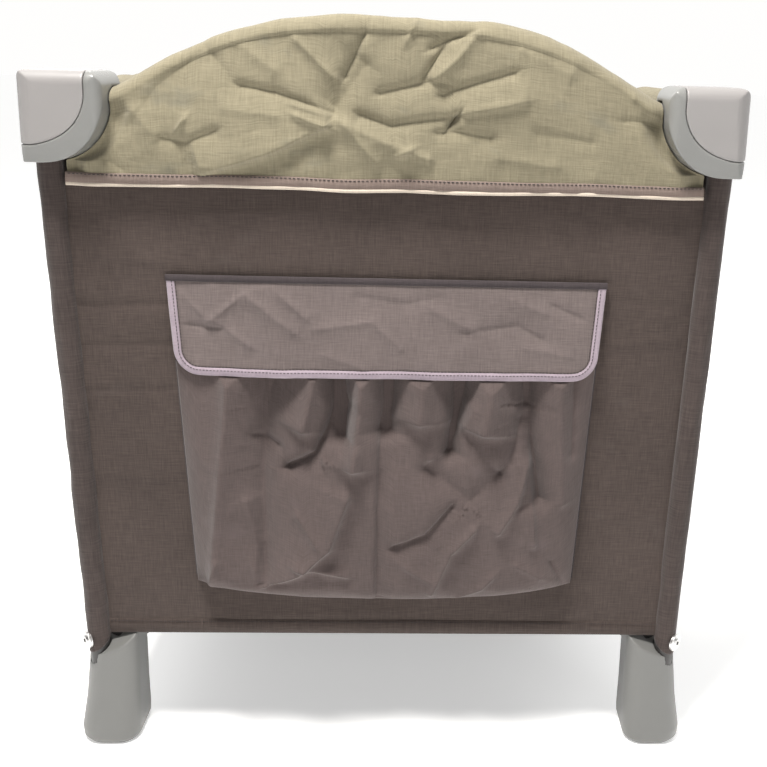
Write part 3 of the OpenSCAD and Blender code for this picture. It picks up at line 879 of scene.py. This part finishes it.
DOME_FOLDS = [
    (((-89, 770), (-53, 735)), 2.2, 4, 4),
    (((-25, 778), (-43, 738)), -3.6, 4, 3),
    (((-23, 750), (-53, 709)), -3.4, 16, 10),
    (((-91, 709), (-58, 700)), 2.4, 4, 3),
    (((-89, 699), (-56, 687)), 2.6, 5, 3),
    (((-143, 727), (-108, 721), (-55, 702)), -3.4, 3.5, 7),
    (((-60, 691), (-114, 664), (-180, 642)), 6.0, 30, 3.5),
    (((-42, 690), (-12, 656)), 2.2, 4, 7),
    (((-48, 694), (-6, 676), (39, 660)), 3.2, 5, 9),
    (((-29, 702), (1, 692), (35, 698), (63, 702)), -3.6, 3.5, 10),
    (((-10, 723), (26, 732), (44, 735), (61, 732)), -3.2, 3.5, 8),
    (((51, 722), (73, 731), (120, 746)), -3.4, 3.5, 9),
    (((59, 693), (67, 704)), -5.0, 2.2, 2.2),
    (((65, 704), (111, 713), (130, 718)), 3.0, 12, 3),
    (((47, 686), (70, 687), (100, 683)), -3.0, 3.5, 10),
    (((81, 783), (54, 774), (40, 766)), -3.0, 4, 3.5),
    (((50, 765), (33, 739)), -3.8, 3, 4),
    (((83, 781), (65, 757), (43, 737)), 3.2, 4, 6),
    (((23, 787), (16, 772)), 1.8, 3, 3),
    (((-220, 675), (-196, 671), (-168, 683)), -2.6, 3.5, 8),
    (((-203, 684), (-197, 692)), 2.4, 2.5, 2.5),
    (((-175, 761), (-223, 722), (-271, 651)), -3.0, 8, 34),
    (((21, 669), (10, 664)), 2.4, 2.5, 2.5),
    (((145, 689), (199, 680)), -1.8, 5, 12),
    (((106, 663), (164, 656)), 1.6, 8, 6),
    (((238, 724), (269, 702)), 2.4, 3.5, 4),
    (((230, 702), (265, 702)), -1.8, 4, 6),
    (((-158, 704), (-109, 699)), 1.6, 9, 6),
    (((-147, 767), (-109, 741)), 1.4, 8, 8),
    (((126, 766), (175, 745)), 1.6, 7, 10),
    (((-245, 699), (-224, 675)), 1.8, 8, 8),
]


def dome_top(u, half):
    share = np.minimum(np.abs(u) / half, 1)
    return SHOULDER_Z + (CREST_Z - SHOULDER_Z) * (1 - share**3) ** 1.25


def cover_half(z, side):
    """Half width of a cover at height z: its hem wraps behind the housings' rounded corners."""
    fall = np.clip(HOUSING_Z + ARC_UP - z, 0, HOUSING_ARC)
    leg_at = wall_reach(side)[1]
    round_at = leg_at - housing_shift(side) + ARC_OUT
    return np.minimum(round_at - np.sqrt(HOUSING_ARC**2 - fall**2), leg_at - HEM_INSET + 2 * MM)


def cover_relief(side, u, z, half):
    """Folds, crumples and the valley beside each housing, outwards from the cover's plain shape."""
    seed = {"front": 11, "back": 12, "left": 13, "right": 14}[side]
    slack = 3.2 * bumps(u, z, 105 * MM, seed) + 1.5 * bumps(u, z, 46 * MM, seed + 30)
    facets = 2.2 * crumple(u, z, 38 * MM, seed + 60) + 0.8 * crumple(u, z, 15 * MM, seed + 90)
    folds = 0
    if side == "front":
        folds = 1.7 * fold_relief(u, z, DOME_FOLDS)
    if side == "back":
        folds = 1.4 * fold_relief(-u, z, DOME_FOLDS)
    if side in ("left", "right"):
        stretched = u * 0.55
        folds = 1.0 * fold_relief(stretched, z * 0.75 + 0.16, DOME_FOLDS)
    from_edge = half - np.abs(u)
    valley = -9 * MM * np.exp(-(((from_edge - 10 * MM) / (9 * MM)) ** 2))
    tuck = -7 * MM * smooth(12 * MM - from_edge, 0, 12 * MM)
    low = smooth(HOUSING_Z + 66 * MM - z, 0, 20 * MM)
    return (slack + facets) * MM + folds + (valley + tuck) * low


def cover_grid(side):
    """Points of a cover from its outer hem, up over the top and down to its inner hem."""
    leg_at = wall_reach(side)[1]
    domed = side in ("front", "back")
    cols = 430 if domed else 420
    s = np.linspace(-1, 1, cols)[None]
    half_top = cover_reach(side)
    top = dome_top(s * half_top, half_top) if domed else np.full(s.shape, SIDE_TOP)
    roll = 15 * MM
    front_t = np.linspace(0, 1, 120)[:, None]
    turns = np.linspace(0, math.pi, 26)[1:-1, None]
    back_t = np.linspace(1, 0, 60)[:, None]
    low = HEM_Z + 6 * MM
    shrink = smooth(top, SHOULDER_Z, CREST_Z) if domed else 0 * top + 0.5
    thick_out = COVER_OUT - 1 * MM
    thick_in = COVER_IN - 1 * MM - 8 * MM * shrink
    middle = (thick_out - thick_in) / 2
    deep = (thick_out + thick_in) / 2
    body_z = top - roll
    z_front = low + (body_z - low) * front_t
    z_back = low + (body_z - low) * back_t
    z_roll = body_z + roll * np.sin(turns)
    z = np.vstack([z_front, z_roll, z_back])
    belly = 2.5 * MM * np.sin(front_t * math.pi)
    out = np.vstack([thick_out - 3 * MM + belly - 3.5 * MM * front_t * shrink + 0 * z_front,
                     middle + (deep - 3 * MM) * np.cos(turns)
                     - 1.5 * MM * shrink * np.cos(turns) + 0 * z_roll,
                     -thick_in + 0 * z_back])
    half = cover_half(z, side)
    inner_half = leg_at - COVER_IN - 4 * MM
    inside = np.vstack([0 * front_t, turns / math.pi, 1 + 0 * back_t])
    half = half + (np.minimum(half, inner_half) - half) * inside
    u = s * half
    amount = np.vstack([0.35 + 0.65 * smooth(front_t, 0, 0.12), 1 - 0.5 * turns / math.pi, 0.5 + 0 * back_t])
    relief = cover_relief(side, u, z, half) * amount
    lean_out = np.vstack([1 + 0 * front_t, np.cos(turns), -1 + 0 * back_t])
    lift = np.vstack([0 * front_t, np.sin(turns), 0 * back_t])
    out = out + relief * lean_out
    bumpy_top = np.clip(relief, -2.5 * MM, 2.0 * MM)
    z = z + bumpy_top * lift
    hang = 1.2 * MM * bumps(u, 0 * u, 60 * MM, 8)
    z = z + hang * np.vstack([1 - smooth(front_t, 0, 0.2), 0 * turns, 0 * back_t])
    return u, out, z


def make_cover(side, look):
    u, out, z = cover_grid(side)
    points = on_wall(side, u, out, z, upright=True)
    steps = np.linalg.norm(np.diff(points, axis=0), axis=2)
    along = np.vstack([0 * u[:1], np.cumsum(steps, axis=0)])
    name = "cover_" + side
    piece = add_grid(name, points, u, along, look["cover"])
    thicken(piece, 0.9 * MM)
    trims = add_cover_hem(side, look, u, out, z)
    domed = side in ("front", "back")
    for part in (piece, *trims):
        finish_cover_piece(part, side)
    if domed:
        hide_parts("end_cover_" + side)


def finish_cover_piece(piece, side):
    """A cover's piece rides on its wall's leg, as a wall's piece does."""
    finish_wall_piece(piece, side)


def add_cover_hem(side, look, u, out, z):
    """The hem: a taupe binding under a stitch line, with a paler piped lower edge."""
    hem_u = u[0]
    row_out, row_z = out[0], z[0]
    wave = bumps(hem_u, 0 * hem_u, 45 * MM, 21)
    path, across, outward = wall_line(side, hem_u, row_out + 0.6 * MM, row_z + 0.5 * MM, upright=True)
    band = add_sweep(
        "cover_hem_" + side, path, across, outward, tape_profile(10.5 * MM, 3.2 * MM), look["hem"]
    )
    twist = 0.9 * MM * bumps(hem_u, 0 * hem_u, 16 * MM, 22)
    low = row_z - 5.6 * MM - 0.9 * MM * wave
    path, across, outward = wall_line(side, hem_u, row_out + 0.4 * MM + twist, low, upright=True)
    edge = add_sweep(
        "cover_hem_edge_" + side, path, across, outward, tape_profile(4.2 * MM, 3.4 * MM), look["ivory"]
    )
    path, across, outward = wall_line(side, hem_u, row_out + 2.0 * MM, row_z + 4.2 * MM, upright=True)
    row = add_stitches(
        "cover_hem_stitches_" + side, path, across, outward,
        4.2 * MM, 3.4 * MM, 0.45 * MM, look["dark_thread"]
    )
    return [band, edge, row]


# ---- flap and pocket ----

FLAP_TOP = flap_high.z
FLAP_LOW = flap_low.z
FLAP_HALF = flap_high.x
FLAP_R = 25 * MM
FLAP_LEAN = 19 * MM
STAND_OFF = 3.2 * MM

FLAP_FOLDS = [
    (((-181, 491), (-144, 521), (-131, 525)), 2.4, 4, 4),
    (((-141, 517), (-94, 483)), 2.6, 4, 7),
    (((-172, 491), (-139, 468)), 2.0, 4, 5),
    (((-201, 486), (-168, 485)), -2.0, 3, 6),
    (((-120, 529), (-82, 496)), 2.2, 6, 4),
    (((-74, 486), (-15, 494), (14, 468)), 2.0, 5, 6),
    (((-33, 520), (16, 512), (53, 520)), -1.6, 4, 8),
    (((45, 508), (90, 486)), 2.0, 5, 6),
    (((78, 484), (133, 492), (158, 478)), -2.0, 4, 8),
    (((114, 524), (161, 506)), 2.2, 5, 6),
    (((169, 513), (198, 501)), -1.8, 3, 6),
    (((143, 470), (188, 462)), 1.6, 5, 5),
    (((-63, 459), (-24, 447)), 1.6, 4, 5),
    (((-208, 519), (-189, 499)), 1.4, 4, 4),
]


def flap_half(z):
    """Half width of the flap at height z, with its rounded lower corners."""
    side = FLAP_HALF - 6 * MM * smooth(FLAP_TOP - z, 0, FLAP_TOP - FLAP_LOW)
    rise = np.clip(FLAP_R - (z - FLAP_LOW), 0, FLAP_R)
    return side - FLAP_R + np.sqrt(np.maximum(FLAP_R**2 - rise**2, 0))


def flap_out(u, z):
    """The flap leans out over the pocket's gathers, and its lower edge waves a little."""
    share = (FLAP_TOP - z) / (FLAP_TOP - FLAP_LOW)
    near_side = smooth(FLAP_HALF - np.abs(u), 0, 55 * MM)
    lean = FLAP_LEAN * share**0.9 * (0.55 + 0.45 * near_side)
    waves = 2.2 * bumps(u, z * 0.5, 62 * MM, 51) + 1.3 * crumple(u, z, 24 * MM, 52)
    edge_wave = 1.6 * bumps(u, 0 * u, 38 * MM, 54) * share**2
    loose = smooth(share, 0.02, 0.3)
    creases = 1.4 * fold_relief(u, z, FLAP_FOLDS) * loose
    return STAND_OFF + lean + (waves * (0.25 + 0.75 * loose) + edge_wave) * MM + creases


def flap_outline(inset, step=2.5 * MM):
    """The flap's bound edge from its upper left, round both lower corners, to its upper right."""
    r = FLAP_R - inset
    low, top_half, low_half = FLAP_LOW + inset, FLAP_HALF - inset, FLAP_HALF - 6 * MM - inset
    left = [(-top_half, FLAP_TOP - 3 * MM), (-low_half, low + r)]
    corner = [
        (-low_half + r - r * math.cos(a), low + r - r * math.sin(a))
        for a in np.radians(np.arange(6, 91, 6))
    ]
    half = left + corner
    whole = half + [(-u, z) for u, z in reversed(half)]
    return spaced(np.array(whole), step)


def make_flap(look):
    rows_low = FLAP_LOW + FLAP_R * (1 - np.cos(np.linspace(0, math.pi / 2, 30)))
    rows_high = np.linspace(FLAP_LOW + FLAP_R, FLAP_TOP, 60)[1:]
    z = np.concatenate([rows_low, rows_high])[:, None]
    s = np.linspace(-1, 1, 300)[None]
    u = s * flap_half(z)
    points = on_wall("front", u, flap_out(u, z), z + 0 * u)
    flap = add_grid("pocket_flap_cloth", points, u, z, look["flap"])
    thicken(flap, 1.0 * MM)
    ring = flap_outline(3.6 * MM)
    u, z = ring[:, 0], ring[:, 1]
    path, across, outward = wall_line("front", u, flap_out(u, z), z)
    binding = add_sweep(
        "flap_binding", path, across, outward, tape_profile(8.4 * MM, 3.0 * MM), look["binding"]
    )
    trims = [binding]
    for name, inset in (("flap_stitches_outer", 5.2 * MM), ("flap_stitches_inner", 8.6 * MM)):
        ring = flap_outline(inset)
        u, z = ring[:, 0], ring[:, 1]
        rise = 1.75 * MM if inset < 7 * MM else 0.9 * MM
        path, across, outward = wall_line("front", u, flap_out(u, z) + rise, z)
        trims.append(
            add_stitches(name, path, across, outward, 3.6 * MM, 2.6 * MM, 0.38 * MM, look["dark_thread"])
        )
    u = np.linspace(-FLAP_HALF - 1 * MM, FLAP_HALF + 1 * MM, 220)
    z = np.full(220, FLAP_TOP - 2.5 * MM)
    path, across, outward = wall_line("front", u, flap_out(u, z) + 0.8 * MM, z)
    top = add_sweep(
        "flap_top_binding", path, across, outward, tape_profile(7 * MM, 3.4 * MM), look["dark_tape"]
    )
    z = np.full(220, FLAP_TOP + 1.2 * MM)
    path, across, outward = wall_line("front", u, flap_out(u, z) + 0.2 * MM, z)
    lip = add_sweep("flap_top_edge", path, across, outward, tape_profile(1.6 * MM, 2.6 * MM), look["binding"])
    for piece in (flap, top, lip, *trims):
        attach(piece, "flap")
        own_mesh(piece)
    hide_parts("pocket_flap")


POCKET_TOP = pocket_high.z
POCKET_LOW = pocket_low.z
POCKET_HALF = pocket_high.x
POCKET_HALF_LOW = POCKET_HALF - 13 * MM
POCKET_DEEP = 27 * MM

POCKET_FOLDS = [
    (((-161, 446), (-164, 400), (-171, 322), (-186, 198)), 9.0, 9, 13),
    (((-118, 446), (-125, 400), (-129, 334), (-128, 204)), -11.0, 14, 16),
    (((-50, 446), (-48, 410), (-46, 366)), -21.0, 8, 9),
    (((-25, 446), (-28, 400), (-34, 340)), 11.0, 10, 12),
    (((2, 446), (1, 405), (-2, 375)), -20.0, 9, 9),
    (((-6, 380), (-8, 300), (-9, 185)), -4.5, 2.5, 14),
    (((-40, 306), (-59, 249), (-91, 220), (-128, 202)), 7.5, 20, 3.2),
    (((-47, 409), (-74, 352), (-102, 337)), -9.0, 4, 10),
    (((-72, 446), (-80, 405), (-86, 380)), 9.0, 14, 10),
    (((-137, 369), (-113, 359)), -3.5, 3, 6),
    (((-91, 286), (-71, 254)), 3.0, 3.5, 5),
    (((-94, 228), (-41, 215)), 3.5, 8, 3),
    (((-189, 197), (-178, 231)), 4.0, 3, 4),
    (((-144, 300), (-135, 249), (-139, 204)), 4.0, 10, 8),
    (((39, 447), (35, 390)), 8.0, 14, 14),
    (((77, 447), (74, 401), (66, 352)), -20.0, 8, 9),
    (((108, 447), (106, 411), (101, 381)), 14.0, 18, 20),
    (((46, 349), (67, 357), (80, 379), (90, 405)), 4.5, 11, 5),
    (((42, 338), (89, 302), (120, 332)), -5.5, 14, 11),
    (((9, 247), (42, 261), (70, 295)), -5.0, 3.5, 9),
    (((50, 195), (69, 244), (94, 272)), 5.0, 6, 4),
    (((145, 447), (148, 391), (163, 300)), -15.0, 9, 13),
    (((147, 401), (152, 331), (159, 254)), 4.0, 3, 10),
    (((120, 270), (139, 303), (149, 341)), 5.5, 8, 4),
    (((120, 332), (131, 345), (140, 391)), -4.0, 7, 6),
    (((178, 447), (182, 381), (187, 301)), 6.0, 12, 8),
    (((194, 447), (196, 353)), -5.0, 4, 5),
    (((178, 230), (195, 198)), -4.0, 4, 4),
    (((79, 187), (103, 202), (115, 216)), 3.0, 4, 3),
    (((23, 225), (48, 210)), 2.4, 5, 4),
    (((141, 230), (168, 214)), 2.6, 5, 5),
]


def pocket_bottom(u):
    return POCKET_LOW - 7 * MM + 17 * MM * (np.abs(u) / POCKET_HALF_LOW) ** 2.2


def pocket_out(u, z):
    """The pocket's sheet: sewn flat at its sides and bottom, full of gathers under the flap."""
    half = POCKET_HALF_LOW + (POCKET_HALF - POCKET_HALF_LOW) * (z - POCKET_LOW) / (POCKET_TOP - POCKET_LOW)
    from_side = np.maximum(half - np.abs(u), 0)
    from_low = np.maximum(z - pocket_bottom(u), 0)
    side = 1 - np.exp(-from_side / (16 * MM))
    low = np.sqrt(1 - (1 - np.minimum(from_low / (26 * MM), 1)) ** 2)
    high = smooth(POCKET_TOP - z, -12 * MM, 150 * MM)
    swell = POCKET_DEEP * (0.42 + 0.58 * high)
    soft = 3.0 * bumps(
        u, z * 0.7, 52 * MM, 61) + 1.6 * crumple(u, z, 26 * MM, 62) + 0.6 * crumple(u, z, 11 * MM, 63
    )
    relief = fold_relief(u, z, POCKET_FOLDS) * 1.5 + soft * MM
    out = STAND_OFF + (swell + relief) * side * low
    out = np.maximum(out, wall_out("front", u, z) + 1.6 * MM)
    under_flap = flap_out(u, np.maximum(z, FLAP_LOW)) - 3.2 * MM + 1.1 * np.maximum(FLAP_LOW - z, 0)
    return np.minimum(out, under_flap)


def make_pocket(look):
    t = np.linspace(0, 1, 220)[:, None] ** 1.35
    s = np.linspace(-1, 1, 380)[None]
    half_at = POCKET_HALF_LOW + (POCKET_HALF - POCKET_HALF_LOW) * t
    u = s * half_at
    low = pocket_bottom(u)
    z = low + (POCKET_TOP - low) * t
    out = pocket_out(u, z)
    points = on_wall("front", u, out, z)
    steps = np.linalg.norm(np.diff(points, axis=0), axis=2)
    along = np.vstack([0 * u[:1], np.cumsum(steps, axis=0)])
    bag = add_grid("pocket_bag", points, u * 1.25, along, look["pocket"])
    thicken(bag, 0.8 * MM)
    trims = []
    for name, sign in (("pocket_seam_left", -1), ("pocket_seam_right", 1)):
        z = np.linspace(POCKET_LOW + 16 * MM, POCKET_TOP, 120)
        share = (z - POCKET_LOW) / (POCKET_TOP - POCKET_LOW)
        u = sign * (POCKET_HALF_LOW + (POCKET_HALF - POCKET_HALF_LOW) * share + 0.6 * MM)
        path, across, outward = wall_line("front", u, wall_out("front", u, z) + 1.0 * MM, z)
        trims.append(
            add_sweep(name, path, across, outward, tape_profile(2.2 * MM, 1.8 * MM), look["dark_tape"])
        )
    for piece in (bag, *trims):
        finish_wall_piece(piece, "front")
    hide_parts("pocket")


# ---- floor, pull loop and mattress ----

FLOOR_NOTCH = 42 * MM
LOOP_SLIT = (49 * MM, 16 * MM)


def make_floor_quarter(corner, look):
    """A quarter of the floor cloth, riding its strut."""
    sx, sy = SIGNS[corner]
    reach_x, reach_y = floor_high.x, floor_high.y
    a = np.linspace(0, 1, 70)[None]
    b = np.linspace(0, 1, 100)[:, None]
    y = reach_y * b
    x = a * (reach_x - np.maximum(0, y - (reach_y - FLOOR_NOTCH)))
    slit = LOOP_SLIT[1] * (1 - smooth(x, LOOP_SLIT[0] - 4 * MM, LOOP_SLIT[0] + 4 * MM))
    y = slit + (reach_y - slit) * b
    z = floor_low.z + 1.1 * MM + 0.5 * MM * bumps(x, y, 60 * MM, 71) + 0.3 * MM * crumple(x, y, 30 * MM, 72)
    points = np.stack([sx * x + 0 * y, sy * y + 0 * x, z], axis=-1)
    piece = add_grid("floor_cloth_" + corner, points, x, y, look["floor"])
    thicken(piece, 1.0 * MM)
    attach(piece, "strut_" + corner)
    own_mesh(piece)
    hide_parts("floor_panel")


def make_pull_loop(look):
    """The webbing handle over the hub."""
    low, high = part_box("pull_loop")
    half = high.x - 2 * MM
    turn = np.linspace(0, math.pi, 60)
    x = -half * np.sign(np.cos(turn)) * np.abs(np.cos(turn)) ** 0.45
    z = low.z + 1.2 * MM + (high.z - low.z - 2.4 * MM) * np.sin(turn) ** 0.6
    path = np.stack([x, 0 * x, z], axis=-1)
    along = unit(np.gradient(path, axis=0))
    across = np.tile([0, 1.0, 0], (len(path), 1))
    outward = np.cross(along, across)
    piece = add_sweep(
        "pull_webbing", path, across, outward, tape_profile(high.y - low.y, 2 * MM), look["webbing"]
    )
    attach(piece, "hub")
    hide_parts("pull_loop")


QUILT = 52 * MM


def make_pad(key, look):
    """One panel of the folding mattress: a quilted pad with rounded edges."""
    low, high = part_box("mattress_" + key)
    centre, size = (low + high) / 2, (high - low) / 2
    seed = 80 + "abcd".index(key)
    cols, rows = 150, 66
    s = np.sin(np.linspace(-1, 1, cols) * math.pi / 2)[None]
    t = np.sin(np.linspace(-1, 1, rows) * math.pi / 2)[:, None]
    x, y = s * (size.x - 1 * MM), t * (size.y - 0.6 * MM)
    x, y = x + 0 * y, y + 0 * x
    edge = np.minimum(size.x - np.abs(x), size.y - np.abs(y))
    crown = np.sqrt(1 - (1 - np.clip(edge / (16 * MM), 0, 1)) ** 2)
    diagonal = np.minimum(np.abs(((x + y) / QUILT) % 1 - 0.5), np.abs(((x - y) / QUILT) % 1 - 0.5)) * QUILT
    channel = 1 - np.exp(-diagonal / (7 * MM))
    puff = size.z * crown * (0.78 + 0.2 * channel) + 0.5 * MM * bumps(x, y, 30 * MM, seed) * crown
    top = np.stack([centre.x + x, centre.y + y, centre.z + puff], axis=-1)
    under = np.stack([centre.x + x, centre.y + y, centre.z - size.z * crown * 0.97], axis=-1)
    index = np.arange(rows * cols).reshape(rows, cols)
    upper = quads(index)
    lower = quads(index + rows * cols)[:, ::-1]
    points = np.vstack([top.reshape(-1, 3), under.reshape(-1, 3)])
    uv = np.stack([x, y], axis=-1).reshape(-1, 2)
    loops = np.vstack([uv[upper.ravel()], uv[(lower - rows * cols).ravel()]])
    faces = upper.tolist() + lower.tolist()
    pad = add_object("mattress_pad_" + key, points, faces, look["mat"], loops)
    weld = pad.modifiers.new("weld", "WELD")
    weld.merge_threshold = 0.05 * MM
    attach(pad, "mat_" + key)
    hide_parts("mattress_" + key)
    squash_pad(pad)


def squash_pad(piece):
    """Gives the pad a mesh of its own."""
    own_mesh(piece)


# ---- everything ----


def build():
    make_camera()
    make_studio()
    look = make_materials()
    make_hard_parts(look)
    for corner in SIGNS:
        make_sleeve(corner, look)
        make_floor_quarter(corner, look)
    for side in ("front", "back"):
        make_end_wall(side, look)
    for side in ("left", "right"):
        make_side_wall(side, look)
    for side in ("front", "back", "left", "right"):
        make_cover(side, look)
    make_pocket(look)
    make_flap(look)
    make_pull_loop(look)
    for key in "abcd":
        make_pad(key, look)


build()
